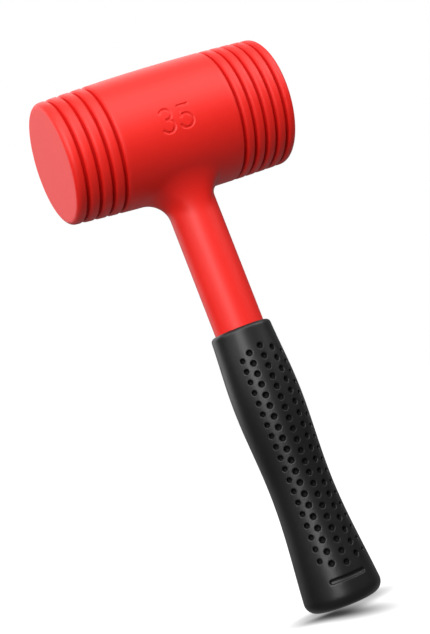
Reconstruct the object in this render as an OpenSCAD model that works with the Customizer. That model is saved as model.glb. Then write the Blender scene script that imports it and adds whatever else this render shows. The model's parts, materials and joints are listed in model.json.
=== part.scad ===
// Soft face hammer with a dead blow head. A red polyurethane casing is cast round a steel
// canister half full of shot and round the steel rod that carries it, and a dimpled rubber
// sleeve covers the handle.
// Z runs up the handle, X along the head, and the dimples face -Y. The butt stands on Z = 0.

/* [Head] */
// Height of the head's axis above the butt
head_z = 262.8; // [245:0.2:320]
// Length of the head from face to face
head_l = 125.6; // [120:0.2:150]
// Distance from the handle's axis to the middle of the head, along X
head_offset = -0.8; // [-2:0.1:2]
// Diameter at the widest place of the barrel
head_d = 70.6; // [66:0.2:80]
// Distance from the handle's axis to the widest place of the barrel, along X
widest_x = 20; // [0:1:24]
// Diameter that the barrel narrows to at the left face
face_d = 64.6; // [60:0.2:70]
// Rounding of the edge round each face
rim_r = 3; // [1:0.25:3.5]
// Distance from the left face to the middle of the nearest groove
left_inset = 6.3; // [5.5:0.1:8]
// Distance from the right face to the middle of the nearest groove
right_inset = 5.7; // [5.5:0.1:8]
// Distance from one groove to the next at the left end
left_pitch = 6.87; // [5:0.01:7]
// Distance from one groove to the next at the right end
right_pitch = 6.28; // [5:0.01:7]
// Number of grooves at the left end
left_grooves = 4; // [1:1:4]
// Number of grooves at the right end
right_grooves = 5; // [1:1:5]
// Width of a groove at its mouth
groove_w = 2.8; // [2:0.1:4]
// Width of a groove at its floor
groove_floor = 1; // [0.4:0.1:1.8]
// Depth of a groove
groove_depth = 1.3; // [0.6:0.1:2]

/* [Neck] */
// Diameter of the neck and of the stem inside the grip
neck_d = 26.7; // [24:0.1:30]
// Radius of the blend between the neck and the head, on the left
left_blend = 12.5; // [6:0.5:14]
// Radius of the blend on the right
right_blend = 6; // [4:0.5:12]
// Radius of the blend at the front and the back
front_blend = 42; // [20:1:50]

/* [Grip] */
// Length of the grip sleeve
grip_l = 151; // [140:0.5:180]
// Diameter above the rounded edge of the butt
butt_d = 41.8; // [38:0.2:46]
// Rounding of the butt's edge
butt_round = 6; // [3:0.5:9]
// Thickness of rubber under the stem
butt_t = 9; // [6:0.5:14]
// Diameter at the waist
waist_d = 33.2; // [32:0.2:38]
// Height of the waist
waist_z = 64; // [54:1:74]
// Diameter at the belly
belly_d = 36.6; // [34:0.2:42]
// Height of the belly
belly_z = 111; // [100:1:120]
// Diameter under the rounded top lip
lip_d = 32.9; // [31:0.2:36]
// Rounding of the top lip
lip_round = 2.4; // [0.6:0.1:2.6]

/* [Dimples] */
// Diameter of a dimple
dimple_d = 3.5; // [2:0.1:4.2]
// Diameter of a dimple in the two outer columns
edge_dimple_d = 3; // [1.5:0.1:3.6]
// Depth of a dimple
dimple_depth = 1.8; // [0.6:0.1:2]
// Draft angle of a dimple's wall
dimple_draft = 7; // [2:1:15]
// Distance from the top of the grip to the highest dimple
dimple_top = 12.8; // [10:0.1:25]
// Height of the lowest dimple
dimple_bottom = 20.8; // [18:0.1:30]
// Share by which the spacing widens from the middle to the bottom
dimple_spread = 0.05; // [0:0.01:0.1]
// Length of the pill shaped recess under the dimples, round the grip
recess_l = 21; // [10:0.5:30]
// Height of the recess
recess_h = 2.6; // [1.5:0.1:4]
// Depth of the recess
recess_depth = 1.2; // [0.5:0.1:2]
// Height of the middle of the recess
recess_z = 14; // [11:0.5:15]
// Turn of the recess round the grip, from the front
recess_turn = -4; // [-30:1:30]

/* [Canister] */
// Outer diameter of the canister
canister_d = 46; // [42:0.5:50]
// Length of the canister
canister_l = 88; // [80:1:96]
// Wall of the canister tube
canister_wall = 3; // [2:0.25:4]
// Thickness of the discs that close the canister
cap_t = 4; // [3:0.5:6]
// Chamfer round a disc's outer face, for the weld
cap_chamfer = 1; // [0.5:0.1:1.5]

/* [Handle rod] */
// Diameter of the rod
rod_d = 12; // [10:0.5:14]
// Height of the rod's lower end
rod_z = 22; // [14:1:60]
// Chamfer on the rod's ends
rod_chamfer = 1; // [0.5:0.1:1.5]
// Number of anchor grooves near the rod's lower end
anchor_count = 3; // [1:1:6]
// Distance from one anchor groove to the next, and from the end to the first
anchor_pitch = 10; // [8:1:14]
// Width of an anchor groove
anchor_w = 4; // [2:0.5:5]
// Depth of an anchor groove
anchor_depth = 1.2; // [0.5:0.1:2]
// Outer diameter of the socket under the canister
socket_d = 18; // [17:0.2:20]
// Length of the socket below the canister
socket_l = 20; // [14:1:26]
// Diameter of the cross pin through socket and rod
pin_d = 4; // [3:0.5:5]
// Depth of the pin's ends below the socket's side
pin_sink = 0.8; // [0.6:0.1:1.5]

/* [Shot] */
// Diameter of a ball
shot_d = 8; // [7:0.25:9]
// Number of balls in a row along the head
shot_count = 7; // [4:1:8]
// Number of layers of balls, counted from the bottom
shot_layers = 4; // [1:1:4]

/* [Fits] */
// Gap between pieces that are cast, pressed or welded together
bond_gap = 0.1; // [0.05:0.01:0.15]
// Gap between one ball and the next
shot_gap = 0.2; // [0.1:0.05:0.4]
// Gap between the balls and the canister
shot_clear = 0.4; // [0.3:0.05:0.8]

/* [Hidden] */
$fn = 96;

// Columns of dimples: angle from the front in degrees, number of dimples, how far the column
// starts below the highest dimple, and how far it ends above the lowest one.
dimple_columns = [[-37, 19, 4.5, 5], [-20.6, 20, 1.7, 2], [1.7, 21, 0, 0],
                  [24.3, 19, 2.7, 2], [45, 19, 6, 2]];
outer_columns = [0, len(dimple_columns) - 1];

// The two sides of the grip that carry dimples, front and back
dimple_sides = [0, 180];

// How far the straight sides of the recess stay inside the line of its round ends
recess_ease = 0.1;

// Steps along the curved outlines
body_steps = 4;
wall_steps = 4;
round_steps = 6;
grip_steps = 22;
blend_steps = 8;
blend_turns = 72;

// How sharply the blend's radius grows towards the front and the back, from the left and the right
blend_fade = [6, 14];

// How far the blend's edges bite into the neck and the barrel, and how far its root goes in
blend_bite = 0.15;
blend_root = 2.5;

// Shares of a full wave that the flare above the butt and the taper to the lip follow
flare_wave = 0.72;
lip_wave = 0.78;

head_r = head_d / 2;
neck_r = neck_d / 2;
canister_r = canister_d / 2;
shot_bore_r = canister_r - canister_wall;
groove_wall = (groove_w - groove_floor) / 2;
lip_z = grip_l - lip_round;
socket_z = head_z - canister_r - socket_l;
pin_z = head_z - canister_r - socket_l / 2;
rod_top = head_z - canister_r - bond_gap;
shot_pitch = shot_d + shot_gap;
layer_pitch = shot_pitch * sqrt(3) / 2;
shot_ring_r = shot_bore_r - shot_clear - shot_d / 2;

// Points along an arc from angle a0 to angle a1
function arc(centre, r, a0, a1, steps) =
    [for (i = [0:steps]) let (a = a0 + (a1 - a0) * i / steps) centre + r * [cos(a), sin(a)]];

// Half a cosine wave, from 0 to 1
function swell(t) = (1 - cos(180 * t)) / 2;

// Radius of the barrel at a distance x from the handle's axis
function crown(x) =
    head_r - (head_d - face_d) / 2 * pow((x - widest_x) / (head_offset - head_l / 2 - widest_x), 2);

// Outline of a groove about the distance x on one side, down one wall and up the other
function groove(side, x) = concat(
    [for (i = [0:wall_steps]) let (t = i / wall_steps, at = x - groove_w / 2 + groove_wall * t)
        [crown(side * at) - groove_depth * swell(t), at]],
    [for (i = [wall_steps:-1:0]) let (t = i / wall_steps, at = x + groove_w / 2 - groove_wall * t)
        [crown(side * at) - groove_depth * swell(t), at]]);

// Outline of the head on one side of the handle's axis, as radius and distance from the axis
function head_half(side, inset, pitch, grooves) =
    let (reach = head_l / 2 + side * head_offset,
         rim_x = reach - rim_r,
         inner = reach - inset - (grooves - 1) * pitch)
    concat(
        [for (i = [0:body_steps - 1]) let (x = (inner - groove_w / 2) * i / body_steps)
            [crown(side * x), x]],
        [for (i = [0:grooves - 1]) each groove(side, inner + i * pitch)],
        arc([crown(side * rim_x) - rim_r, rim_x], rim_r, 0, 90, round_steps),
        [[0, reach]]);

// Radius of the grip at a height z
function grip_r(z) =
    z < waist_z ?
        waist_d / 2 + (butt_d - waist_d) / 2
            * swell(flare_wave * (waist_z - z) / (waist_z - butt_round)) / swell(flare_wave)
    : z < belly_z ?
        waist_d / 2 + (belly_d - waist_d) / 2 * swell((z - waist_z) / (belly_z - waist_z))
    :
        belly_d / 2 - (belly_d - lip_d) / 2
            * swell(lip_wave * (z - belly_z) / (lip_z - belly_z)) / swell(lip_wave);

// Height of dimple i in a column
function dimple_z(column, i) =
    let (t = i / (column[1] - 1),
         top = grip_l - dimple_top - column[2],
         bottom = dimple_bottom + column[3])
    top - (top - bottom) * (t + dimple_spread * (t * t - t));

// Radius of the ball that rolls along the corner between the neck and the barrel, at an angle a
function blend_r(a) =
    let (side = right_blend + (left_blend - right_blend) * (1 - cos(a)) / 2,
         fade = blend_fade[cos(a) > 0 ? 1 : 0])
    side + (front_blend - side) * pow(abs(sin(a)), fade);

// Centre of that ball
function blend_centre(a) =
    let (ball = blend_r(a) - blend_bite,
         x = (neck_r + ball) * cos(a), y = (neck_r + ball) * sin(a),
         r = crown(x) + ball)
    [x, y, head_z - sqrt(r * r - y * y)];

// Closed section of the blend at an angle a round the neck: the rolling ball's arc from the
// neck to the barrel, then back inside the wall
function blend_section(a) =
    let (c = blend_centre(a),
         ball = blend_r(a),
         to_neck = [-cos(a), -sin(a), 0],
         to_head = [0, -c[1], head_z - c[2]] / norm([c[1], head_z - c[2]]),
         turn = acos(to_neck * to_head),
         inner_r = (neck_r + socket_d / 2 + bond_gap) / 2,
         root = c + (ball + blend_root) * to_head,
         foot_z = c[2])
    concat(
        [for (i = [0:blend_steps]) let (t = i / blend_steps)
            c + ball * (sin((1 - t) * turn) * to_neck + sin(t * turn) * to_head) / sin(turn)],
        [root,
         [inner_r * cos(a), inner_r * sin(a), root[2]],
         [inner_r * cos(a), inner_r * sin(a), foot_z]]);

// Solid of revolution about the head's axis, from an outline of radius and distance
module along_head(outline) {
    translate([0, 0, head_z]) rotate([0, 90, 0]) rotate_extrude() polygon(outline);
}

module head_barrel() {
    left = head_half(-1, left_inset, left_pitch, left_grooves);
    mirrored = [for (i = [len(left) - 1:-1:1]) [left[i][0], -left[i][1]]];
    along_head(concat(mirrored, head_half(1, right_inset, right_pitch, right_grooves)));
}

// Ring that blends the neck into the barrel
module neck_root() {
    sections = [for (i = [0:blend_turns - 1]) blend_section(360 * i / blend_turns)];
    count = len(sections[0]);
    points = [for (section = sections) each section];
    faces = [for (i = [0:blend_turns - 1]) for (j = [0:count - 1]) each
        let (next = (i + 1) % blend_turns, up = (j + 1) % count,
             a = i * count + j, b = next * count + j,
             c = next * count + up, d = i * count + up)
        [[a, c, b], [a, d, c]]];
    polyhedron(points, faces);
}

// Outline of the rod, grown by a gap, as radius and height
function rod_outline(gap) =
    let (r = rod_d / 2 + gap, chamfer = rod_chamfer)
    concat(
        [[0, rod_z - gap], [r - chamfer, rod_z - gap], [r, rod_z - gap + chamfer]],
        [for (i = [1:anchor_count]) each
            let (z = rod_z + i * anchor_pitch, half = anchor_w / 2 - gap)
            [[r, z - half], [r - anchor_depth, z - half], [r - anchor_depth, z + half], [r, z + half]]],
        [[r, rod_top - chamfer], [r - chamfer, rod_top], [0, rod_top]]);

module rod_body(gap = 0) {
    rotate_extrude() polygon(rod_outline(gap));
}

module canister_body(gap = 0) {
    translate([0, 0, head_z]) rotate([0, 90, 0])
        cylinder(r = canister_r + gap, h = canister_l + 2 * gap, center = true);
}

module socket_body(gap = 0) {
    translate([0, 0, socket_z - gap])
        cylinder(d = socket_d + 2 * gap, h = head_z - socket_z);
}

module cross_pin(d, l) {
    translate([0, 0, pin_z]) rotate([90, 0, 0]) cylinder(d = d, h = l, center = true);
}

module casing() {
    color("#d92b20") union() {
        difference() {
            union() {
                head_barrel();
                translate([0, 0, butt_t + bond_gap])
                    cylinder(r = neck_r, h = head_z - butt_t - bond_gap);
            }
            canister_body(bond_gap);
            socket_body(bond_gap);
            rod_body(bond_gap);
        }
        neck_root();
    }
}

// Cutter for one dimple in the front of the grip: it widens outwards by its draft
module dimple(d, z) {
    draft = 2 * dimple_depth * tan(dimple_draft);
    translate([0, dimple_depth - grip_r(z), z]) rotate([90, 0, 0])
        cylinder(d1 = d - draft, d2 = d + draft, h = 2 * dimple_depth, $fn = 24);
}

module dimples() {
    for (side = dimple_sides, n = [0:len(dimple_columns) - 1]) {
        column = dimple_columns[n];
        d = len(search(n, outer_columns)) > 0 ? edge_dimple_d : dimple_d;
        rotate([0, 0, side + column[0]])
            for (i = [0:column[1] - 1]) dimple(d, dimple_z(column, i));
    }
}

// Pill shaped recess that follows the round of the grip
module recess() {
    r = grip_r(recess_z);
    half_angle = (recess_l - recess_h) / 2 / r * 180 / PI;
    translate([0, 0, recess_z]) rotate([0, 0, recess_turn]) {
        rotate([0, 0, -90 - half_angle]) rotate_extrude(angle = 2 * half_angle)
            translate([r - recess_depth, recess_ease - recess_h / 2])
                square([2 * recess_depth, recess_h - 2 * recess_ease]);
        for (side = [-1, 1]) rotate([0, 0, side * half_angle]) translate([0, recess_depth - r, 0])
            rotate([90, 0, 0]) cylinder(d = recess_h, h = 2 * recess_depth);
    }
}

module grip_sleeve() {
    bore_r = neck_r + bond_gap;
    outline = concat(
        [[0, 0]],
        arc([butt_d / 2 - butt_round, butt_round], butt_round, -90, 0, round_steps),
        [for (i = [1:grip_steps]) let (z = butt_round + (lip_z - butt_round) * i / grip_steps)
            [grip_r(z), z]],
        [for (i = [1:round_steps]) let (a = 90 * i / round_steps)
            [lip_d / 2 - lip_round + lip_round * cos(a), lip_z + lip_round * sin(a)]],
        [[bore_r, grip_l], [bore_r, butt_t], [0, butt_t]]);
    color("#2b2b2d") difference() {
        rotate_extrude() polygon(outline);
        dimples();
        recess();
    }
}

module canister_tube() {
    color("#8d9298") difference() {
        canister_body();
        translate([0, 0, head_z]) rotate([0, 90, 0])
            cylinder(r = shot_bore_r, h = 2 * canister_l, center = true);
    }
}

// Disc in one end of the canister, chamfered for the weld
module canister_disc(side) {
    r = shot_bore_r - bond_gap;
    outer = canister_l / 2;
    inner = outer - cap_t;
    color("#a3a8ad") along_head([[0, side * inner], [r, side * inner],
        [r, side * (outer - cap_chamfer)], [r - cap_chamfer, side * outer], [0, side * outer]]);
}

module left_canister_disc() {
    canister_disc(-1);
}

module right_canister_disc() {
    canister_disc(1);
}

// Layers of balls, each resting between the balls of the layer below
module steel_shot() {
    color("#b9bdc2") for (layer = [0:shot_layers - 1]) {
        z = layer * layer_pitch - shot_ring_r;
        reach = sqrt(shot_ring_r * shot_ring_r - z * z);
        shift = layer % 2 == 0 ? 0 : shot_pitch / 2;
        across = floor((reach - shift) / shot_pitch);
        for (side = [-across - (shift > 0 ? 1 : 0):across], i = [0:shot_count - 1])
            translate([(i - (shot_count - 1) / 2) * shot_pitch,
                       shift + side * shot_pitch, head_z + z])
                sphere(d = shot_d, $fn = 24);
    }
}

module rod_socket() {
    color("#7f858b") difference() {
        socket_body();
        canister_body(bond_gap);
        cylinder(d = rod_d + 2 * bond_gap, h = head_z);
        cross_pin(pin_d + 2 * bond_gap, 2 * socket_d);
    }
}

module handle_rod() {
    color("#9aa0a6") difference() {
        rod_body();
        cross_pin(pin_d + 2 * bond_gap, 2 * socket_d);
    }
}

module socket_pin() {
    color("#c2c6ca") cross_pin(pin_d, socket_d - 2 * pin_sink);
}

casing();
grip_sleeve();
canister_tube();
left_canister_disc();
right_canister_disc();
steel_shot();
rod_socket();
handle_rod();
socket_pin();
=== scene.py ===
import json
import math

import bmesh
import bpy
import numpy as np
from mathutils import Matrix, Vector
from mathutils.geometry import delaunay_2d_cdt


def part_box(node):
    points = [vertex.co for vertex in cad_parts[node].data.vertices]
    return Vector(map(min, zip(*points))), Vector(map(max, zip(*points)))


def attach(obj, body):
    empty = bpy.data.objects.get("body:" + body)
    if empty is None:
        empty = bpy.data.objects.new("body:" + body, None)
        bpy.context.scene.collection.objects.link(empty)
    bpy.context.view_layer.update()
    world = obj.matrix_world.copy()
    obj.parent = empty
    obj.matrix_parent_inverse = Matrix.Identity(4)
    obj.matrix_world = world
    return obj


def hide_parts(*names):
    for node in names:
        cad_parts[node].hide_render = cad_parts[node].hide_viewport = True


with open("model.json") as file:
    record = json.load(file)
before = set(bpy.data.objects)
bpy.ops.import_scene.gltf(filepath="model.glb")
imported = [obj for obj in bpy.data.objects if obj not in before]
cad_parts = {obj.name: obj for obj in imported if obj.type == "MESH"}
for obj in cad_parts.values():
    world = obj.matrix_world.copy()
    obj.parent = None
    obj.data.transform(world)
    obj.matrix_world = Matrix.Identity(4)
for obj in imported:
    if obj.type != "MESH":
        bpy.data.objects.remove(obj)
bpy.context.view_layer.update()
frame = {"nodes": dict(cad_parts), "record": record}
mm = 0.001
tiny, slack = 1e-9, 1e-6  # lengths that count as nothing, and room for rounding

# Places that the frame gives
casingLow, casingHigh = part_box("casing")
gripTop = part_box("grip_sleeve")[1].z
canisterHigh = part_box("canister_tube")[1]
socketLow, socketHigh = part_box("rod_socket")
rodLow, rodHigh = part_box("handle_rod")
mounts = {mount["name"]: mount for mount in frame["record"]["mounts"]}
headZ = mounts["left_face"]["pos_m"][2]
leftReach, rightReach = -casingLow.x, casingHigh.x
headRadius = casingHigh.z - headZ
neckRadius = mounts["neck_clip"]["dims"]["r_mm"] * mm
bondGap = 0.1 * mm  # between the casing and what it holds
print("frame loaded, head axis at", round(headZ / mm, 1), "mm")


# Node trees

class Wire:
    # an output socket; arithmetic on wires adds Math nodes
    def __init__(self, board, socket):
        self.board = board
        self.socket = socket

    def other(self, name):
        return Wire(self.board, self.socket.node.outputs[name])

    def maths(self, operation, first, second=0.0):
        return self.board.add("ShaderNodeMath", {"operation": operation}, {0: first, 1: second})

    def __add__(self, value):
        return self.maths("ADD", self, value)

    def __radd__(self, value):
        return self.maths("ADD", value, self)

    def __sub__(self, value):
        return self.maths("SUBTRACT", self, value)

    def __rsub__(self, value):
        return self.maths("SUBTRACT", value, self)

    def __mul__(self, value):
        return self.maths("MULTIPLY", self, value)

    def __rmul__(self, value):
        return self.maths("MULTIPLY", value, self)

    def __truediv__(self, value):
        return self.maths("DIVIDE", self, value)

    def __rtruediv__(self, value):
        return self.maths("DIVIDE", value, self)

    def __gt__(self, value):
        return self.maths("GREATER_THAN", self, value)

    def __abs__(self):
        return self.maths("ABSOLUTE", self)


class Board:
    # a node tree that nodes are added to
    def __init__(self, tree):
        self.tree = tree

    def add(self, kind, settings=None, sockets=None, out=0):
        node = self.tree.nodes.new(kind)
        for name, value in (settings or {}).items():
            setattr(node, name, value)
        for key, value in (sockets or {}).items():
            for each in value if isinstance(value, list) else [value]:
                if isinstance(each, Wire):
                    self.tree.links.new(each.socket, node.inputs[key])
                else:
                    node.inputs[key].default_value = each
        return Wire(self, node.outputs[out]) if len(node.outputs) else node

    def mixColours(self, factor, first, second):
        return self.add("ShaderNodeMix", {"data_type": "RGBA"}, {0: factor, 6: first, 7: second}, out=2)

    def ease(self, value, start, end, low, high):
        sockets = {"Value": value, "From Min": start, "From Max": end, "To Min": low, "To Max": high}
        return self.add("ShaderNodeMapRange", {"interpolation_type": "SMOOTHSTEP"}, sockets)

    def noise(self, place, scale, detail):
        return self.add("ShaderNodeTexNoise", {}, {"Vector": place, "Scale": scale, "Detail": detail})

    def bump(self, height, strength, depth):
        return self.add("ShaderNodeBump", {}, {"Strength": strength, "Distance": depth, "Height": height})


def newFinish(name):
    material = bpy.data.materials.new(name)
    material.use_nodes = True
    material.node_tree.nodes.clear()
    board = Board(material.node_tree)
    place = board.add("ShaderNodeTexCoord", out="Object")
    return material, board, place


def closeFinish(board, sockets, mask=None, under=None):
    # one shader, or two of them with a mask that brings in the second
    shader = board.add("ShaderNodeBsdfPrincipled", {}, sockets)
    if under:
        second = board.add("ShaderNodeBsdfPrincipled", {}, under)
        shader = board.add("ShaderNodeMixShader", {}, {0: mask, 1: shader, 2: second})
    board.add("ShaderNodeOutputMaterial", {}, {"Surface": shader})


def newTree(name, inputs):
    tree = bpy.data.node_groups.new(name, "GeometryNodeTree")
    tree.is_modifier = True
    for label, kind in inputs:
        tree.interface.new_socket(name=label, in_out="INPUT", socket_type="NodeSocket" + kind)
    tree.interface.new_socket(name="Geometry", in_out="OUTPUT", socket_type="NodeSocketGeometry")
    board = Board(tree)
    entry = board.add("NodeGroupInput")
    return tree, board, {label: entry.other(label) for label, kind in inputs}


def closeTree(board, geometry, material):
    whole = board.add("GeometryNodeRealizeInstances", {}, {"Geometry": geometry})
    dressed = board.add("GeometryNodeSetMaterial", {}, {"Geometry": whole, "Material": material})
    board.add("NodeGroupOutput", {}, {"Geometry": dressed})


def runTree(piece, tree, values):
    modifier = piece.modifiers.new(tree.name, "NODES")
    modifier.node_group = tree
    for item in tree.interface.items_tree:
        if item.in_out == "INPUT" and item.name in values:
            modifier[item.identifier] = values[item.name]
    bpy.context.view_layer.update()
    evaluated = piece.evaluated_get(bpy.context.evaluated_depsgraph_get())
    plain = bpy.data.meshes.new_from_object(evaluated)
    piece.modifiers.clear()
    rough = piece.data
    piece.data = plain
    bpy.data.meshes.remove(rough)
    plain.name = piece.name


# Meshes

def newPiece(name, points, faces):
    mesh = bpy.data.meshes.new(name)
    mesh.from_pydata([tuple(point) for point in points], [], faces)
    piece = bpy.data.objects.new(name, mesh)
    bpy.context.scene.collection.objects.link(piece)
    return piece


def smoothPiece(piece, sharpAngle):
    work = bmesh.new()
    work.from_mesh(piece.data)
    bmesh.ops.recalc_face_normals(work, faces=work.faces)
    for face in work.faces:
        face.smooth = True
    for edge in work.edges:
        edge.smooth = not edge.is_manifold or edge.calc_face_angle(0) < math.radians(sharpAngle)
    work.to_mesh(piece.data)
    work.free()


def fillGaps(marks, step):
    # the marks in order, with lines between them that are no further apart than step
    marks = sorted(marks)
    lines = [marks[0]]
    for mark in marks[1:]:
        start, gap = lines[-1], mark - lines[-1]
        if gap > tiny:
            parts = max(1, math.ceil(gap / step - slack))
            lines += [start + gap * (i + 1) / parts for i in range(parts)]
    return lines


def joinRings(first, second):
    count = len(first)
    return [(first[i], first[(i + 1) % count], second[(i + 1) % count], second[i]) for i in range(count)]


def fullTurn(count, offset=0.0):
    return [2 * math.pi * (i + offset) / count for i in range(count)]


def quarterTurn(steps):
    return [math.pi / 2 * i / steps for i in range(steps + 1)]


def spin(outline, count):
    # closed turning of (radius, height) points; a point on the axis becomes a pole
    points, faces, last = [], [], None
    for radius, height in outline:
        if radius < tiny:
            ring = [len(points)]
            points.append((0.0, 0.0, height))
        else:
            ring = list(range(len(points), len(points) + count))
            points += [(radius * math.sin(turn), -radius * math.cos(turn), height)
                       for turn in fullTurn(count)]
        if last and len(last) > 1 and len(ring) > 1:
            faces += joinRings(last, ring)
        elif last:
            pole, rim = (last[0], ring) if len(last) == 1 else (ring[0], last)
            faces += [(pole, rim[i], rim[(i + 1) % count]) for i in range(count)]
        last = ring
    return points, faces


def swell(t):
    # half a cosine wave, from 0 to 1
    return (1 - math.cos(math.pi * t)) / 2


# Finishes

redCast = {
    # the face colour is partly a dull bloom and partly painted sheen
    "deep": (0.72, 0.008, 0.003, 1), "bright": (0.80, 0.011, 0.005, 1), "face": (0.86, 0.040, 0.038, 1),
    # scale and detail of each noise
    "cloud": (26, 3.0), "mottle": (420, 4.0), "grain": (1500, 2.0),
    "mottleShare": 0.3, "grainDepth": 0.02 * mm, "grainBump": 0.5,
    "roughness": (0.45, 0.53), "specular": 0.5, "ior": 1.48,
    # the end faces, from just inside them: plain cover and what the mottle adds; their paler, pinker colour
    # is partly a dull bloom and partly painted sheen
    "faceEdge": (-0.35 * mm, -0.05 * mm), "faceCover": (0.8, 0.2), "faceRoughness": 0.60,
    # painted shade and no polish in the grooves: a deeper red with little gloss, by millimetres below the
    # skin
    "groove": (0.44, 0.002, 0.001, 1), "grooveDepth": (0.6, 1.35),
    "grooveRoughness": 0.8, "grooveSpecular": 0.1,
}
blackRubber = {
    "deep": (0.004, 0.004, 0.0042, 1), "worn": (0.008, 0.008, 0.0084, 1),
    "cloud": (34, 4.0), "grain": (1600, 2.0), "grainDepth": 0.04 * mm, "grainBump": 0.6,
    "roughness": (0.36, 0.46), "specular": 0.44, "ior": 1.5,
    # painted shade in the dimples, by millimetres below the skin: the darkest colour with little gloss, and
    # rougher rubber where no hand polishes it
    "dullDepth": (0.15, 0.7), "dullCover": 0.9, "dullRoughness": 0.9, "dullSpecular": 0.12,
    "recessTop": (17 * mm, 19 * mm), "recessDull": 0.2,  # less so in the recess, below this height
}
steels = {
    # dark and light colour, streak scale along X, Y and Z, roughness
    "canister_steel": ((0.34, 0.35, 0.37, 1), (0.52, 0.53, 0.55, 1), (60, 900, 900), (0.34, 0.50)),
    "rod_steel": ((0.28, 0.29, 0.31, 1), (0.46, 0.47, 0.49, 1), (1100, 1100, 50), (0.28, 0.42)),
    "shot_steel": ((0.48, 0.49, 0.51, 1), (0.66, 0.67, 0.69, 1), (260, 260, 260), (0.16, 0.30)),
}
steelWear = {
    "streak": (1.0, 3.0), "streakShare": 0.6, "streakBump": 0.3, "streakDepth": 0.01 * mm, "stain": (45, 3.0),
}


def makeRedCast():
    look = redCast
    material, board, place = newFinish("casing_polyurethane")
    cloud = board.noise(place, *look["cloud"])
    mottle = board.noise(place, *look["mottle"])
    grain = board.noise(place, *look["grain"])
    along = board.add("ShaderNodeSeparateXYZ", {}, {"Vector": place}, out="X")
    outside = board.add("ShaderNodeMath", {"operation": "MAXIMUM"},
                        {0: along - rightReach, 1: -leftReach - along})
    faceMask = board.ease(outside, *look["faceEdge"], 0.0, 1.0)
    share = look["mottleShare"]
    tone = board.mixColours(cloud * (1 - share) + mottle * share, look["deep"], look["bright"])
    plain, mottled = look["faceCover"]
    # paler, pinker end faces: partly a dull bloom, partly painted sheen
    colour = board.mixColours(faceMask * (plain + mottle * mottled), tone, look["face"])
    smooth, dull = look["roughness"]
    gloss = smooth + mottle * (dull - smooth)
    # depth below the skin brings in the painted shade in the grooves
    sunk = board.add("ShaderNodeAttribute", {"attribute_name": "sunk"}, out="Fac")
    closeFinish(board, {
        "Base Color": colour, "Roughness": gloss + faceMask * (look["faceRoughness"] - gloss),
        "Normal": board.bump(grain, look["grainBump"], look["grainDepth"]),
        "Specular IOR Level": look["specular"], "IOR": look["ior"],
    }, board.ease(sunk, *look["grooveDepth"], 0.0, 1.0), {
        "Base Color": look["groove"], "Roughness": look["grooveRoughness"],
        "Specular IOR Level": look["grooveSpecular"]})
    return material


def makeBlackRubber():
    look = blackRubber
    material, board, place = newFinish("grip_rubber")
    cloud = board.noise(place, *look["cloud"])
    grain = board.noise(place, *look["grain"])
    satin, dull = look["roughness"]
    sunk = board.add("ShaderNodeAttribute", {"attribute_name": "sunk"}, out="Fac")
    height = board.add("ShaderNodeSeparateXYZ", {}, {"Vector": place}, out="Z")
    # painted shade in the dimples, weaker in the recess
    paintedDimpleShade = (board.ease(sunk, *look["dullDepth"], 0.0, look["dullCover"])
              * board.ease(height, *look["recessTop"], look["recessDull"], 1.0))
    closeFinish(board, {
        "Base Color": board.mixColours(cloud, look["deep"], look["worn"]),
        "Roughness": satin + cloud * (dull - satin),
        "Normal": board.bump(grain, look["grainBump"], look["grainDepth"]),
        "Specular IOR Level": look["specular"], "IOR": look["ior"],
    }, paintedDimpleShade, {
        "Base Color": look["deep"], "Roughness": look["dullRoughness"],
        "Specular IOR Level": look["dullSpecular"]})
    return material


def makeSteel(slot):
    dark, light, streaks, (polish, dull) = steels[slot]
    material, board, place = newFinish(slot)
    drawn = board.add("ShaderNodeMapping", {}, {"Vector": place, "Scale": streaks})
    streak = board.noise(drawn, *steelWear["streak"])
    stain = board.noise(place, *steelWear["stain"])
    share = steelWear["streakShare"]
    closeFinish(board, {
        "Base Color": board.mixColours(streak * share + stain * (1 - share), dark, light),
        "Metallic": 1.0, "Roughness": polish + stain * (dull - polish),
        "Normal": board.bump(streak, steelWear["streakBump"], steelWear["streakDepth"])})
    return material


finishes = {slot: makeSteel(slot) for slot in steels}
finishes["casing_polyurethane"] = makeRedCast()
finishes["grip_rubber"] = makeBlackRubber()
print("finishes made:", len(finishes))


# Casing: barrel head, neck and stem in one skin

casing = {
    "faceRadius": 32.3 * mm, "widest": 20.0 * mm, "rimRound": 3.0 * mm, "rimSteps": 8,
    "faceRings": (0.97, 0.85, 0.65, 0.45, 0.25, 0.1),
    # inset of the outermost groove, pitch and count at each end
    "leftGrooves": (6.3 * mm, 6.87 * mm, 4), "rightGrooves": (5.7 * mm, 6.28 * mm, 5),
    "mouth": 3.6 * mm, "floor": 0.5 * mm, "depth": 1.4 * mm, "grooveLines": 14,
    # radius of the blend at each side of the neck, and how fast the front one fades to left and right
    "blendLeft": 12.5 * mm, "blendRight": 6.0 * mm, "blendFront": 32.0 * mm, "blendFade": (4, 5),
    "blendSteps": 16, "bridgeSteps": 6, "holeHalf": 27.0 * mm, "holeAngle": math.radians(52),
    "neckFlatZ": 206.0 * mm, "neckParts": (0.35, 0.7), "neckRows": 24,
    "coarse": 2.4 * mm, "coarseAngle": math.radians(2.5), "sharp": 50, "weld": 0.002 * mm,
}
cavity = {
    "chamfer": 1.0 * mm, "anchors": 3, "pitch": 10 * mm, "width": 4 * mm, "depth": 1.2 * mm,
    "around": 72, "canisterAround": 144, "sharp": 30,
}
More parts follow.
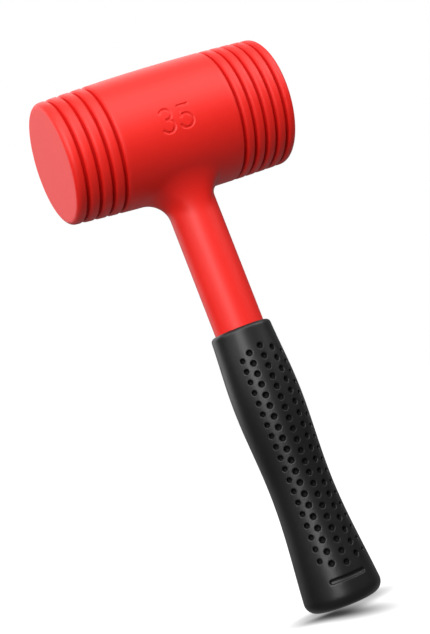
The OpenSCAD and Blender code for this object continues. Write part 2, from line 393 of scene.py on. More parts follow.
number = {
    "height": 12.6 * mm, "stroke": 1.25 * mm, "depth": 0.5 * mm, "edge": 0.3 * mm, "step": 0.27 * mm,
    "turn": math.radians(85), "middle": -3.9 * mm, "spread": 5.2 * mm, "half": (10.5 * mm, 7.4 * mm),
    # in heights of a numeral: lines between two points, arcs as centre, radius, first and last angle
    "threeArcs": (((0, 0.245), 0.235, -90, 150), ((0, -0.235), 0.265, -150, 90)),
    "fiveLines": (((-0.21, 0.47), (0.22, 0.47)), ((-0.21, 0.47), (-0.225, 0.015))),
    "fiveArcs": (((-0.02, -0.19), 0.29, -150, 135),),
}


def crown(x):
    away = (x - casing["widest"]) / (leftReach + casing["widest"])
    return headRadius - (headRadius - casing["faceRadius"]) * away ** 2


def grooveMiddles():
    middles = []
    for side, reach, name in ((-1, leftReach, "leftGrooves"), (1, rightReach, "rightGrooves")):
        inset, pitch, count = casing[name]
        middles += [side * (reach - inset - i * pitch) for i in range(count)]
    return middles


def segmentGap(s, t, start, end):
    ds, dt = end[0] - start[0], end[1] - start[1]
    part = np.clip(((s - start[0]) * ds + (t - start[1]) * dt) / (ds * ds + dt * dt), 0, 1)
    return np.hypot(s - start[0] - part * ds, t - start[1] - part * dt)


def arcGap(s, t, centre, radius, first, last):
    turn = np.degrees(np.arctan2(t - centre[1], s - centre[0]))
    off = (turn - (first + last) / 2 + 180) % 360 - 180
    gap = np.abs(np.hypot(s - centre[0], t - centre[1]) - radius)
    tips = [np.hypot(s - centre[0] - radius * math.cos(angle), t - centre[1] - radius * math.sin(angle))
            for angle in (math.radians(first), math.radians(last))]
    return np.where(np.abs(off) <= (last - first) / 2, gap, np.minimum(*tips))


def numberDrop(x, angle):
    # plain numerals 3 and 5 as sunk strokes
    height = number["height"]
    s, t = (x - number["middle"]) / height, (angle - number["turn"]) * headRadius / height
    side = number["spread"] / height
    gaps = [arcGap(s + side, t, *arc) for arc in number["threeArcs"]]
    gaps += [segmentGap(s - side, t, *line) for line in number["fiveLines"]]
    gaps += [arcGap(s - side, t, *arc) for arc in number["fiveArcs"]]
    gap, edge = np.min(gaps, axis=0), number["edge"]
    rise = np.clip((number["stroke"] / 2 + edge / 2 - gap * height) / edge, 0, 1)
    return number["depth"] * rise * rise * (3 - 2 * rise)


def blendArc(turn):
    # rolling ball between barrel and neck at one turn about the handle, largest at front and back
    side = casing["blendRight"] + (casing["blendLeft"] - casing["blendRight"]) * (1 - math.cos(turn)) / 2
    fade = casing["blendFade"][math.cos(turn) > 0]
    ball = side + (casing["blendFront"] - side) * abs(math.sin(turn)) ** fade
    reach = neckRadius + ball
    x, y = reach * math.cos(turn), reach * math.sin(turn)
    centre = Vector((x, y, headZ - math.sqrt((crown(x) + ball) ** 2 - y * y)))
    toNeck = Vector((-math.cos(turn), -math.sin(turn), 0))
    toHead = Vector((0, -y, headZ - centre.z)).normalized()
    steps = casing["blendSteps"]
    return [centre + ball * toHead.slerp(toNeck, i / steps) for i in range(steps + 1)]


def casingLines():
    rim = casing["rimRound"]
    stations = [rim - leftReach, rightReach - rim, -casing["holeHalf"], casing["holeHalf"]]
    for middle in grooveMiddles():
        count = casing["grooveLines"]
        stations += [middle + casing["mouth"] * (i / count - 0.5) for i in range(count + 1)]
    patchX, patchT = number["half"]
    stations += list(number["middle"] + np.arange(-patchX, patchX, number["step"]))
    turns = [-math.pi, -casing["holeAngle"], casing["holeAngle"], math.pi]
    turns += list(number["turn"] + np.arange(-patchT, patchT, number["step"]) / headRadius)
    return fillGaps(stations, casing["coarse"]), fillGaps(turns, casing["coarseAngle"])[:-1]


def barrelPoint(x, turn, radius):
    # turn 0 is the underside and a quarter turn is the front
    return (x, -radius * math.sin(turn), headZ - radius * math.cos(turn))


def buildCasing():
    stations, turns = casingLines()
    drop = numberDrop(*np.meshgrid(np.array(stations), np.array(turns), indexing="ij"))
    holeHalf, holeAngle = casing["holeHalf"], casing["holeAngle"]
    points, faces, index = [], [], {}
    for i, x in enumerate(stations):
        for j, turn in enumerate(turns):
            if abs(x) > holeHalf - slack or abs(turn) > holeAngle - slack:
                index[i, j] = len(points)
                points.append(barrelPoint(x, turn, crown(x) - drop[i, j]))
    count = len(turns)
    for i in range(len(stations) - 1):
        for j in range(count):
            after = (j + 1) % count
            middleTurn = turns[j] if after == 0 else (turns[j] + turns[after]) / 2
            if abs(stations[i] + stations[i + 1]) / 2 > holeHalf or abs(middleTurn) > holeAngle:
                faces.append((index[i, j], index[i, after], index[i + 1, after], index[i + 1, j]))
    # rims and end faces
    rim = casing["rimRound"]
    for side, reach, row in ((-1, leftReach, 0), (1, rightReach, len(stations) - 1)):
        last, rimX = [index[row, j] for j in range(count)], reach - rim
        centreR = crown(side * rimX) - rim
        rings = [(rimX + rim * math.sin(a), centreR + rim * math.cos(a))
                 for a in quarterTurn(casing["rimSteps"])[1:]]
        rings += [(reach, centreR * part) for part in casing["faceRings"]]
        for x, radius in rings:
            ring = list(range(len(points), len(points) + count))
            points += [barrelPoint(side * x, turn, radius) for turn in turns]
            faces += joinRings(last, ring)
            last = ring
        points.append((side * reach, 0, headZ))
        faces += [(last[j], last[(j + 1) % count], len(points) - 1) for j in range(count)]
    # opening under the barrel, its blend, the neck and the stem
    rows = [i for i, x in enumerate(stations) if abs(x) < holeHalf + slack]
    columns = [j for j, turn in enumerate(turns) if abs(turn) < holeAngle + slack]
    loop = [(rows[-1], j) for j in columns[:-1]] + [(i, columns[-1]) for i in rows[:0:-1]]
    loop += [(rows[0], j) for j in columns[:0:-1]] + [(i, columns[0]) for i in rows[:-1]]
    arcs = [blendArc(math.atan2(-turns[j] / holeAngle, stations[i] / holeHalf)) for i, j in loop]
    last = [index[spot] for spot in loop]

    def addRing(ring):
        nonlocal last
        fresh = list(range(len(points), len(points) + len(ring)))
        points.extend(ring)
        faces.extend(joinRings(last, fresh))
        last = fresh

    for step in range(1, casing["bridgeSteps"]):
        part, ring = step / casing["bridgeSteps"], []
        for (i, j), arc in zip(loop, arcs):
            meet = math.atan2(-arc[0].y, headZ - arc[0].z)
            x = stations[i] + (arc[0].x - stations[i]) * part
            ring.append(barrelPoint(x, turns[j] + (meet - turns[j]) * part, crown(x)))
        addRing(ring)
    for step in range(casing["blendSteps"] + 1):
        addRing([tuple(arc[step]) for arc in arcs])
    around = [arc[-1] for arc in arcs]
    for part in casing["neckParts"]:
        addRing([(p.x, p.y, p.z + (casing["neckFlatZ"] - p.z) * part) for p in around])
    for height in np.linspace(casing["neckFlatZ"], casingLow.z, casing["neckRows"]):
        addRing([(p.x, p.y, height) for p in around])
    addRing([(p.x / 2, p.y / 2, casingLow.z) for p in around])
    points.append((0, 0, casingLow.z))
    faces += [(last[j], last[(j + 1) % len(last)], len(points) - 1) for j in range(len(last))]
    return newPiece("hammer_casing", points, faces)


def grooveTree():
    sizes = ["Left Outer", "Right Outer", "Left Pitch", "Right Pitch", "Left Count", "Right Count",
             "Mouth", "Floor", "Depth", "Axis Height"]
    inputs = [("Geometry", "Geometry")] + [(size, "Float") for size in sizes] + [("Material", "Material")]
    tree, board, entry = newTree("end grooves", inputs)
    place = board.add("GeometryNodeInputPosition")
    x = board.add("ShaderNodeSeparateXYZ", {}, {"Vector": place}, out="X")
    isRight = x > 0

    def atEnd(size):
        left, right = entry["Left " + size], entry["Right " + size]
        return left + (right - left) * isRight

    outer, pitch, count = atEnd("Outer"), atEnd("Pitch"), atEnd("Count")
    nearest = board.add("ShaderNodeMath", {"operation": "ROUND"}, {0: (outer - abs(x)) / pitch})
    kept = board.add("ShaderNodeClamp", {}, {"Value": nearest, "Min": 0.0, "Max": count - 1})
    away = abs(abs(x) - (outer - kept * pitch))
    drop = board.ease(away, entry["Floor"] / 2, entry["Mouth"] / 2, entry["Depth"], 0.0)
    axis = board.add("ShaderNodeCombineXYZ", {}, {"X": x, "Z": entry["Axis Height"]})
    outward = board.add("ShaderNodeVectorMath", {"operation": "SUBTRACT"}, {0: place, 1: axis})
    unit = board.add("ShaderNodeVectorMath", {"operation": "NORMALIZE"}, {0: outward})
    shift = board.add("ShaderNodeVectorMath", {"operation": "SCALE"}, {0: unit, "Scale": 0 - drop})
    cut = board.add("GeometryNodeSetPosition", {}, {"Geometry": entry["Geometry"], "Offset": shift})
    marked = board.add("GeometryNodeStoreNamedAttribute", {"data_type": "FLOAT", "domain": "POINT"},
                       {"Geometry": cut, "Name": "sunk", "Value": drop / mm})
    closeTree(board, marked, entry["Material"])
    return tree


def hollowCasing(piece):
    # the room that the canister, the socket and the rod with its anchor grooves take up inside
    radius, bottom = rodHigh.x + bondGap, rodLow.z - bondGap
    outline = [(0, bottom), (radius - cavity["chamfer"], bottom), (radius, bottom + cavity["chamfer"])]
    for i in range(1, cavity["anchors"] + 1):
        z, half = rodLow.z + i * cavity["pitch"], cavity["width"] / 2 - bondGap
        outline += [(radius, z - half), (radius - cavity["depth"], z - half),
                    (radius - cavity["depth"], z + half), (radius, z + half)]
    outline += [(radius, rodHigh.z), (0, rodHigh.z)]
    shell = newPiece("cavity", *spin(outline, cavity["around"]))
    radius, bottom = socketHigh.x + bondGap, socketLow.z - bondGap
    outline = [(0, bottom), (radius, bottom), (radius, headZ), (0, headZ)]
    socket = newPiece("cavity_socket", *spin(outline, cavity["around"]))
    radius, length = canisterHigh.z - headZ + bondGap, canisterHigh.x + bondGap
    outline = [(0, -length), (radius, -length), (radius, length), (0, length)]
    canister = newPiece("cavity_canister", *spin(outline, cavity["canisterAround"]))
    canister.data.transform(Matrix.Translation((0, 0, headZ)) @ Matrix.Rotation(math.pi / 2, 4, "Y"))
    for part in (shell, socket, canister):
        smoothPiece(part, cavity["sharp"])
    for part in (socket, canister):
        union = shell.modifiers.new("union", "BOOLEAN")
        union.operation, union.solver, union.object = "UNION", "EXACT", part
    bpy.context.view_layer.update()
    whole = bpy.data.meshes.new_from_object(shell.evaluated_get(bpy.context.evaluated_depsgraph_get()))
    whole.flip_normals()
    work = bmesh.new()
    work.from_mesh(piece.data)
    work.from_mesh(whole)
    bmesh.ops.remove_doubles(work, verts=work.verts, dist=casing["weld"])
    work.to_mesh(piece.data)
    work.free()
    for part in (shell, socket, canister):
        bpy.data.objects.remove(part)
    bpy.data.meshes.remove(whole)


hammerCasing = buildCasing()
leftGrooves, rightGrooves = casing["leftGrooves"], casing["rightGrooves"]
runTree(hammerCasing, grooveTree(), {
    "Left Outer": leftReach - leftGrooves[0], "Right Outer": rightReach - rightGrooves[0],
    "Left Pitch": leftGrooves[1], "Right Pitch": rightGrooves[1],
    "Left Count": float(leftGrooves[2]), "Right Count": float(rightGrooves[2]),
    "Mouth": casing["mouth"], "Floor": casing["floor"], "Depth": casing["depth"], "Axis Height": headZ,
    "Material": finishes["casing_polyurethane"]})
smoothPiece(hammerCasing, casing["sharp"])
hollowCasing(hammerCasing)
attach(hammerCasing, "hammer")
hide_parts("casing")
print("casing skin:", len(hammerCasing.data.polygons), "faces")


# Grip: a flat sheet with cups let into it, wrapped round the handle

grip = {
    "buttRadius": 20.9 * mm, "buttRound": 6.0 * mm, "buttFloor": 9.0 * mm,
    "waistRadius": 16.6 * mm, "waistZ": 64.0 * mm, "bellyRadius": 18.3 * mm, "bellyZ": 111.0 * mm,
    "lipRadius": 16.45 * mm, "lipRound": 2.4 * mm, "flareWave": 0.72, "lipWave": 0.78,
    "buttRings": (0.2, 0.5, 0.8, 0.95), "buttSteps": 12, "lipSteps": 8,
    "boreTop": 1.0 * mm, "boreRows": 12, "boreRing": 0.6,
    # the sheet's seam is at the side, away from dimples and recess
    "around": 144, "row": 1.25 * mm, "seam": math.radians(-90), "weld": 0.008 * mm, "sharp": 60,
}
# parts of the rim's turn that get a ring, and how much of the fillet the floor's edge is drawn in by
cupRim, cupFloor = (0.5, 1.0), 0.75
dimples = {
    # angle from the front, count, start below the top one, end above the lowest one, diameter
    "columns": ((-37.0, 19, 4.5 * mm, 5.0 * mm, 3.0 * mm), (-20.6, 20, 1.7 * mm, 2.0 * mm, 3.5 * mm),
                (1.7, 21, 0.0, 0.0, 3.5 * mm), (24.3, 19, 2.7 * mm, 2.0 * mm, 3.5 * mm),
                (45.0, 19, 6.0 * mm, 2.0 * mm, 3.0 * mm)),
    "top": 12.8 * mm, "bottom": 20.8 * mm, "spread": 0.05, "sides": (0, 180),
    "depth": 1.8 * mm, "draft": math.radians(7), "rim": 0.22 * mm, "fillet": 0.3 * mm, "segments": 18,
    "size": 3.5 * mm, "guard": 0.55 * mm, "clear": 1.6,
}
recess = {
    "length": 21.0 * mm, "height": 2.6 * mm, "depth": 1.2 * mm, "z": 14.0 * mm, "turn": math.radians(-4),
    "rim": 0.35 * mm, "fillet": 0.3 * mm, "draft": math.radians(6), "guard": 0.5 * mm, "clear": 2.6,
    "runs": 24, "ends": 8,
}
lipZ = gripTop - grip["lipRound"]
sheetRadius = grip["waistRadius"]


def gripRadius(z):
    waist, belly, lip = grip["waistRadius"], grip["bellyRadius"], grip["lipRadius"]
    if z < grip["waistZ"]:
        t = grip["flareWave"] * (grip["waistZ"] - z) / (grip["waistZ"] - grip["buttRound"])
        return waist + (grip["buttRadius"] - waist) * swell(t) / swell(grip["flareWave"])
    if z < grip["bellyZ"]:
        return waist + (belly - waist) * swell((z - grip["waistZ"]) / (grip["bellyZ"] - grip["waistZ"]))
    t = grip["lipWave"] * (z - grip["bellyZ"]) / (lipZ - grip["bellyZ"])
    return belly - (belly - lip) * swell(t) / swell(grip["lipWave"])


# half the straight part of the recess, and how much wider it is on the flat sheet
recessHalf = (recess["length"] - recess["height"]) / 2
recessStretch = sheetRadius / gripRadius(recess["z"])


def cupOutline(radius, shape):
    # (radius, height) from the rounded rim down to the edge of the floor
    depth, rim, fillet, draft = (shape[name] for name in ("depth", "rim", "fillet", "draft"))
    wall = radius - rim * math.tan(draft)
    outer = wall + rim * (1 - math.sin(draft)) / math.cos(draft)
    rows = [(outer, 0.0)]
    for part in cupRim:
        sweep = part * (math.pi / 2 - draft)
        rows.append((outer - rim * math.sin(sweep), -rim * (1 - math.cos(sweep))))
    rows.append((radius - (depth - fillet) * math.tan(draft), fillet - depth))
    rows.append((rows[-1][0] - fillet * cupFloor, -depth))
    return rows


def dimplePlaces():
    places = []
    for side in dimples["sides"]:
        for angle, count, start, end, size in dimples["columns"]:
            top, bottom = gripTop - dimples["top"] - start, dimples["bottom"] + end
            turn = (math.radians(side + angle) - grip["seam"]) % (2 * math.pi) + grip["seam"]
            for i in range(count):
                t = i / (count - 1)
                z = top - (top - bottom) * (t + dimples["spread"] * (t * t - t))
                scale = size / dimples["size"]
                places.append((turn * sheetRadius, z, scale * sheetRadius / gripRadius(z), scale))
    return places


def recessRings():
    # outline of the pill at each row of its section, and how its floor is filled
    runs, ends = recess["runs"], recess["ends"]
    spine = [(recessHalf * (1 - 2 * i / runs), math.pi / 2) for i in range(runs)]
    spine += [(-recessHalf, math.pi / 2 + math.pi * i / ends) for i in range(ends)]
    spine += [(-recessHalf * (1 - 2 * i / runs), -math.pi / 2) for i in range(runs)]
    spine += [(recessHalf, -math.pi / 2 + math.pi * i / ends) for i in range(ends)]
    rows = cupOutline(recess["height"] / 2, recess)
    middle = recess["turn"] * sheetRadius

    def ring(radius, height):
        return [(middle + (s + radius * math.cos(a)) * recessStretch,
                 recess["z"] + radius * math.sin(a), height) for s, a in spine]

    count = len(spine)
    upper = list(range(0, runs + 1))
    lower = [(2 * runs + ends - i) % count for i in range(runs + 1)]
    floor = [(upper[i], upper[i + 1], lower[i + 1], lower[i]) for i in range(runs)]
    floor.append(tuple(range(runs, runs + ends + 1)))
    floor.append(tuple(i % count for i in range(2 * runs + ends, count + 1)))
    return [ring(*row) for row in rows], ring(rows[0][0] + recess["guard"], 0.0), floor


def buildSheet(places):
    # worked in millimetres, where the triangulation is at ease
    mouth = cupOutline(dimples["size"] / 2, dimples)[0][0]
    panRings, panGuard, panFloor = recessRings()
    flat, owner, edges = [], [], []

    def addLoop(loop, name):
        # name is the hole that the loop bounds, or -1 for points of the sheet itself
        start = len(flat)
        flat.extend((u / mm, v / mm) for u, v in loop)
        owner.extend([name] * len(loop))
        if name >= 0:
            edges.extend((start + i, start + (i + 1) % len(loop)) for i in range(len(loop)))

    for name, (u, v, scaleU, scaleV) in enumerate(places):
        for radius, offset, owned in ((mouth, 0.0, name), (mouth + dimples["guard"], 0.5, -1)):
            wide, high = radius * scaleU, radius * scaleV
            addLoop([(u + wide * math.cos(a), v + high * math.sin(a))
                     for a in fullTurn(dimples["segments"], offset)], owned)
    addLoop([point[:2] for point in panRings[0]], len(places))
    addLoop([point[:2] for point in panGuard], -1)

    across = (grip["seam"] + np.linspace(0, 2 * math.pi, grip["around"] + 1)) * sheetRadius
    rows = math.ceil((lipZ - grip["buttRound"]) / grip["row"])
    up = np.linspace(grip["buttRound"], lipZ, rows + 1)
    gridU, gridV = np.meshgrid(across, up, indexing="ij")
    free = np.ones(gridU.shape, bool)
    clear = mouth + dimples["guard"] * dimples["clear"]
    for u, v, scaleU, scaleV in places:
        free &= ((gridU - u) / scaleU) ** 2 + ((gridV - v) / scaleV) ** 2 > clear ** 2
    overU = np.abs(gridU - recess["turn"] * sheetRadius) / recessStretch - recessHalf
    clear = recess["height"] / 2 + recess["guard"] * recess["clear"]
    free &= np.hypot(np.maximum(overU, 0), gridV - recess["z"]) > clear
    free[[0, -1], :] = True
    free[:, [0, -1]] = True
    addLoop(list(zip(gridU[free], gridV[free])), -1)
    result = delaunay_2d_cdt([Vector(point) for point in flat], edges, [], 0, slack)
    points = [(vertex.x * mm, vertex.y * mm, 0.0) for vertex in result[0]]
    names = [owner[sources[0]] if sources else -1 for sources in result[3]]
    # a face with all its corners on one hole would fill it
    faces = [tuple(face) for face in result[2]
             if names[face[0]] < 0 or len({names[corner] for corner in face}) > 1]
    last = None
    for ring in panRings:
        fresh = list(range(len(points), len(points) + len(ring)))
        points += ring
        faces += joinRings(last, fresh) if last else []
        last = fresh
    faces += [tuple(last[i] for i in corners) for corners in panFloor]
    return newPiece("grip_sheet", points, faces)


def buildCup():
    rows, count = cupOutline(dimples["size"] / 2, dimples), dimples["segments"]
    points = [(radius * math.cos(a), radius * math.sin(a), height)
              for radius, height in rows for a in fullTurn(count)]
    rings = [range(row * count, (row + 1) * count) for row in range(len(rows))]
    faces = [face for first, second in zip(rings, rings[1:]) for face in joinRings(first, second)]
    return newPiece("dimple_cup", points, faces + [tuple(rings[-1])])


def buildGripEnds():
    # butt below the sheet, and the lip and bore above it
    rounding = grip["buttRound"]
    arc = [(grip["buttRadius"] - rounding * (1 - math.sin(a)), rounding * (1 - math.cos(a)))
           for a in quarterTurn(grip["buttSteps"])]
    butt = [(0, 0)] + [(arc[0][0] * part, 0) for part in grip["buttRings"]] + arc
    lip = [(grip["lipRadius"] - grip["lipRound"] * (1 - math.cos(a)), lipZ + grip["lipRound"] * math.sin(a))
           for a in quarterTurn(grip["lipSteps"])]
    bore, floor = neckRadius + bondGap, grip["buttFloor"]
    heights = np.linspace(gripTop - grip["boreTop"], floor, grip["boreRows"])
    inner = [(bore, gripTop)] + [(bore, z) for z in heights] + [(bore * grip["boreRing"], floor), (0, floor)]
    points, faces = spin(butt, grip["around"])
    morePoints, moreFaces = spin(lip + inner, grip["around"])
    start = len(points)
    faces += [tuple(corner + start for corner in face) for face in moreFaces]
    return newPiece("grip_ends", points + morePoints, faces)


def gripTree():
    sizes = ["Butt Radius", "Butt Round", "Waist Radius", "Waist Height", "Belly Radius", "Belly Height",
             "Lip Radius", "Lip Height", "Weld"]
    helpers = ["Sheet", "Cup", "Ends"]
    inputs = [("Geometry", "Geometry")] + [(size, "Float") for size in sizes]
    inputs += [(name, "Object") for name in helpers] + [("Material", "Material")]
    tree, board, entry = newTree("dimpled grip", inputs)
    sheet, cup, ends = (board.add("GeometryNodeObjectInfo", {}, {"Object": entry[name]}, out="Geometry")
                        for name in helpers)
    size = board.add("GeometryNodeInputNamedAttribute", {"data_type": "FLOAT_VECTOR"}, {"Name": "cupScale"})
    cups = board.add("GeometryNodeInstanceOnPoints", {},
                     {"Points": entry["Geometry"], "Instance": cup, "Scale": size})
    real = board.add("GeometryNodeRealizeInstances", {}, {"Geometry": cups})
    flat = board.add("GeometryNodeJoinGeometry", {}, {"Geometry": [sheet, real]})
    tight = board.add("GeometryNodeMergeByDistance", {}, {"Geometry": flat, "Distance": entry["Weld"]})
    place = board.add("GeometryNodeInputPosition")
    u = board.add("ShaderNodeSeparateXYZ", {}, {"Vector": place}, out="X")
    v, w = u.other("Y"), u.other("Z")

    def wave(t):
        return 0.5 - 0.5 * board.add("ShaderNodeMath", {"operation": "COSINE"}, {0: math.pi * t})

    waist, belly, lip = entry["Waist Radius"], entry["Belly Radius"], entry["Lip Radius"]
    waistZ, bellyZ = entry["Waist Height"], entry["Belly Height"]
    flareWave, lipWave = grip["flareWave"], grip["lipWave"]
    flare = wave(flareWave * (waistZ - v) / (waistZ - entry["Butt Round"])) / swell(flareWave)
    rise = wave((v - waistZ) / (bellyZ - waistZ))
    fall = wave(lipWave * (v - bellyZ) / (entry["Lip Height"] - bellyZ)) / swell(lipWave)
    low = waist + (entry["Butt Radius"] - waist) * flare
    middle = waist + (belly - waist) * rise
    high = belly - (belly - lip) * fall
    radius = low + (middle - low) * (v > waistZ) + (high - middle) * (v > bellyZ) + w
    turn = u / waist
    sine = board.add("ShaderNodeMath", {"operation": "SINE"}, {0: turn})
    cosine = board.add("ShaderNodeMath", {"operation": "COSINE"}, {0: turn})
    wrapped = board.add("ShaderNodeCombineXYZ", {}, {"X": radius * sine, "Y": 0 - radius * cosine, "Z": v})
    marked = board.add("GeometryNodeStoreNamedAttribute", {"data_type": "FLOAT", "domain": "POINT"},
                       {"Geometry": tight, "Name": "sunk", "Value": 0 - w / mm})
    bent = board.add("GeometryNodeSetPosition", {}, {"Geometry": marked, "Position": wrapped})
    whole = board.add("GeometryNodeJoinGeometry", {}, {"Geometry": [bent, ends]})
    closed = board.add("GeometryNodeMergeByDistance", {}, {"Geometry": whole, "Distance": entry["Weld"]})
    closeTree(board, closed, entry["Material"])
    return tree


def buildGrip():
    places = dimplePlaces()
    piece = newPiece("hammer_grip", [(u, v, 0) for u, v, scaleU, scaleV in places], [])
    scales = piece.data.attributes.new("cupScale", "FLOAT_VECTOR", "POINT")
    for item, (u, v, scaleU, scaleV) in zip(scales.data, places):
        item.vector = (scaleU, scaleV, 1)
    helpers = {"Sheet": buildSheet(places), "Cup": buildCup(), "Ends": buildGripEnds()}
    runTree(piece, gripTree(), {
        "Butt Radius": grip["buttRadius"], "Butt Round": grip["buttRound"],
        "Waist Radius": grip["waistRadius"], "Waist Height": grip["waistZ"],
        "Belly Radius": grip["bellyRadius"], "Belly Height": grip["bellyZ"],
        "Lip Radius": grip["lipRadius"], "Lip Height": lipZ, "Weld": grip["weld"],
        "Material": finishes["grip_rubber"], **helpers})
    for helper in helpers.values():
        bpy.data.objects.remove(helper)
    smoothPiece(piece, grip["sharp"])
    return piece


hammerGrip = buildGrip()
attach(hammerGrip, "hammer")
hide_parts("grip_sleeve")
print("grip:", len(hammerGrip.data.polygons), "faces")


# Shot: loose balls in layers inside the canister

shot = {
    "diameter": 8.0 * mm, "gap": 0.2 * mm, "clear": 0.4 * mm, "wall": 3.0 * mm,
    "count": 7, "layers": 4, "detail": 3, "sharp": 60,
}


def shotPlaces():
    pitch = shot["diameter"] + shot["gap"]
    reach = canisterHigh.z - headZ - shot["wall"] - shot["diameter"] / 2 - shot["clear"]
    places = []
    for layer in range(shot["layers"]):
        z = layer * pitch * math.sqrt(3) / 2 - reach
        width = math.sqrt(max(reach * reach - z * z, 0))
        shift = pitch / 2 * (layer % 2)
        across = math.floor((width - shift) / pitch)
        for side in range(-across - layer % 2, across + 1):
            places += [((i - (shot["count"] - 1) / 2) * pitch, shift + side * pitch, headZ + z)
                       for i in range(shot["count"])]
    return places


def shotTree():
    inputs = [("Geometry", "Geometry"), ("Diameter", "Float"), ("Detail", "Int"), ("Material", "Material")]
    tree, board, entry = newTree("shot balls", inputs)
    ball = board.add("GeometryNodeMeshIcoSphere", {},
                     {"Radius": entry["Diameter"] / 2, "Subdivisions": entry["Detail"]})
    balls = board.add("GeometryNodeInstanceOnPoints", {}, {"Points": entry["Geometry"], "Instance": ball})
    closeTree(board, balls, entry["Material"])
    return tree


shotBalls = newPiece("shot_balls", shotPlaces(), [])
runTree(shotBalls, shotTree(), {"Diameter": shot["diameter"], "Detail": shot["detail"],
                                "Material": finishes["shot_steel"]})
smoothPiece(shotBalls, shot["sharp"])
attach(shotBalls, "shot")
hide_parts("steel_shot")
print("shot:", len(shotBalls.data.polygons), "faces")


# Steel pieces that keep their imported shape

for part in frame["record"]["subparts"]:
    if part["material_slot"] in ("canister_steel", "rod_steel"):
        node = frame["nodes"][part["node"]]
        node.data.materials.clear()
        node.data.materials.append(finishes[part["material_slot"]])
print("steel pieces dressed")


# Floor, light and camera

studio = {
    "floorHalf": 30.0, "floorDrop": 0.1 * mm, "floorColour": (0.12, 0.12, 0.12, 1), "floorGlow": 1.02,
    "floorRoughness": 0.85, "floorSpecular": 0.2,
    # a soft shade runs forward from the butt's left edge, and a round one lies where the butt stands
    "shadeMiddle": (-16 * mm, -24 * mm, 0), "shadeTurn": math.radians(4), "shadeHalf": (19 * mm, 82 * mm),
    "shadeEdge": (0.05, 1.0), "shadeStart": (0, -16 * mm), "shadeDepth": 0.95,
    "contactMiddle": (-7 * mm, -9 * mm, 0), "contactEdge": (14 * mm, 37 * mm), "contactDepth": 0.55,
    # how bright the room is to the camera, and to the object from each side
    "seen": 1.0, "front": 0.03,
    "below": 0.16, "belowEdge": (0.0, -0.8), "above": 0.45, "aboveEdge": (0.35, 0.8),
    "behind": 0.20, "behindEdge": (0.40, 0.72), "behindHeading": (0.35, 0.93, -0.05),
    "aim": (0, 0, 0.19),
    # azimuth from the front and elevation in degrees, distance, width and height in metres, power in watts
    "lights": {
        "key": (8, 50, 1.30, 1.50, 1.20, 11.0),
        "broadLeft": (-72, 30, 1.20, 0.80, 0.80, 5.6),
        "stripLeft": (-31, 16, 1.15, 0.42, 1.00, 10.5),
        "backLeft": (-150, 18, 1.20, 0.70, 0.90, 3.5),
        "right": (60, 30, 1.20, 0.80, 0.70, 6.0),
        "back": (170, 45, 1.30, 1.00, 0.80, 4.5),
    },
}
view = {
    # fitted to the outline: angles in degrees, lengths in millimetres, focal length in pixels
    "azimuth": -20.52, "elevation": -4.77, "roll": 21.25, "distance": 750.0, "focal": 1440.28,
    "target": (-10.42, 0.0, 161.18), "imageHeight": 634, "sensor": 36.0, "clip": (0.01, 200),
}


def makeFloor():
    # bright and seamless, with the soft shade under the butt
    half = studio["floorHalf"]
    corners = ((-half, -half), (half, -half), (half, half), (-half, half))
    floor = newPiece("floor", [(x, y, -studio["floorDrop"]) for x, y in corners], [(0, 1, 2, 3)])
    material, board, place = newFinish("studio_floor")
    spot = board.add("ShaderNodeMapping", {"vector_type": "TEXTURE"}, {
        "Vector": place, "Location": studio["shadeMiddle"], "Rotation": (0, 0, studio["shadeTurn"]),
        "Scale": (*studio["shadeHalf"], 1.0)})
    away = board.add("ShaderNodeVectorMath", {"operation": "LENGTH"}, {0: spot}, out="Value")
    forward = board.add("ShaderNodeSeparateXYZ", {}, {"Vector": place}, out="Y")
    shade = board.ease(away, *studio["shadeEdge"], studio["shadeDepth"], 0.0)
    reach = board.add("ShaderNodeVectorMath", {"operation": "DISTANCE"},
                      {0: place, 1: studio["contactMiddle"]}, out="Value")
    contact = board.ease(reach, *studio["contactEdge"], studio["contactDepth"], 0.0)
    light = (1 - shade * board.ease(forward, *studio["shadeStart"], 0.0, 1.0)) * (1 - contact)
    colour = board.mixColours(light, (0, 0, 0, 1), studio["floorColour"])
    glow = board.mixColours(light, (0, 0, 0, 1), (1, 1, 1, 1))
    closeFinish(board, {
        "Base Color": colour, "Roughness": studio["floorRoughness"],
        "Specular IOR Level": studio["floorSpecular"],
        "Emission Color": glow, "Emission Strength": studio["floorGlow"]})
    floor.data.materials.append(material)
    floor.visible_diffuse = floor.visible_glossy = floor.visible_shadow = False


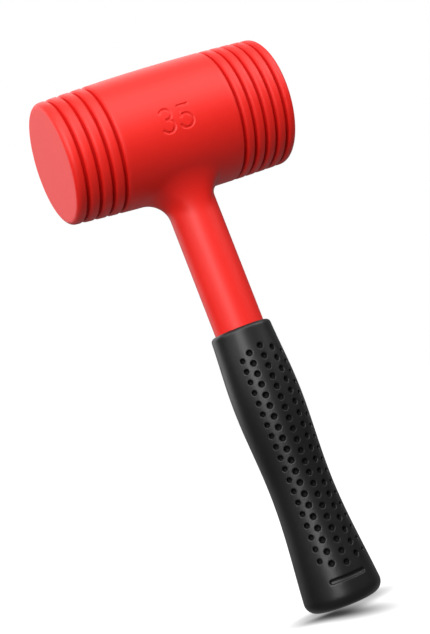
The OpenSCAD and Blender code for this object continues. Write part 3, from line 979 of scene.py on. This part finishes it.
def makeWorld():
    # dim in front, brighter above and below, with a white screen behind
    world = bpy.data.worlds.new("studio")
    world.use_nodes = True
    world.node_tree.nodes.clear()
    board = Board(world.node_tree)
    heading = board.add("ShaderNodeTexCoord", out="Generated")
    height = board.add("ShaderNodeSeparateXYZ", {}, {"Vector": heading}, out="Z")
    screen = board.add("ShaderNodeVectorMath", {"operation": "DOT_PRODUCT"},
                       {0: heading, 1: studio["behindHeading"]}, out="Value")
    lit = (studio["front"] + board.ease(height, *studio["belowEdge"], 0.0, studio["below"])
           + board.ease(height, *studio["aboveEdge"], 0.0, studio["above"])
           + board.ease(screen, *studio["behindEdge"], 0.0, studio["behind"]))
    seen = board.add("ShaderNodeLightPath", out="Is Camera Ray")
    strength = lit + seen * (studio["seen"] - lit)
    light = board.add("ShaderNodeBackground", {}, {"Color": (1, 1, 1, 1), "Strength": strength})
    board.add("ShaderNodeOutputWorld", {}, {"Surface": light})
    bpy.context.scene.world = world
    bpy.context.scene.view_settings.view_transform = "Standard"


def makeLights():
    aim = Vector(studio["aim"])
    for name, (azimuth, elevation, distance, width, height, power) in studio["lights"].items():
        lamp = bpy.data.lights.new(name, "AREA")
        lamp.shape, lamp.size, lamp.size_y, lamp.energy = "RECTANGLE", width, height, power
        turn, lift = math.radians(azimuth), math.radians(elevation)
        away = Vector((math.sin(turn) * math.cos(lift), -math.cos(turn) * math.cos(lift), math.sin(lift)))
        holder = bpy.data.objects.new(name, lamp)
        facing = (-away).to_track_quat("-Z", "Y").to_matrix().to_4x4()
        holder.matrix_world = Matrix.Translation(aim + distance * away) @ facing
        bpy.context.scene.collection.objects.link(holder)


def makeCamera():
    azimuth, elevation, roll = (math.radians(view[name]) for name in ("azimuth", "elevation", "roll"))
    back = Vector((math.sin(azimuth) * math.cos(elevation), -math.cos(azimuth) * math.cos(elevation),
                   math.sin(elevation)))
    right = Vector((math.cos(azimuth), math.sin(azimuth), 0))
    up = back.cross(right)
    turnedRight = math.cos(roll) * right - math.sin(roll) * up
    turnedUp = math.sin(roll) * right + math.cos(roll) * up
    place = (Vector(view["target"]) + view["distance"] * back) * mm
    lens = bpy.data.cameras.new("camera")
    lens.sensor_width = view["sensor"]
    lens.lens = view["focal"] * view["sensor"] / view["imageHeight"]
    lens.clip_start, lens.clip_end = view["clip"]
    camera = bpy.data.objects.new("camera", lens)
    turned = Matrix((turnedRight, turnedUp, back)).transposed().to_4x4()
    camera.matrix_world = Matrix.Translation(place) @ turned
    bpy.context.scene.collection.objects.link(camera)
    bpy.context.scene.camera = camera


makeFloor()
makeWorld()
makeLights()
makeCamera()
print("studio ready")
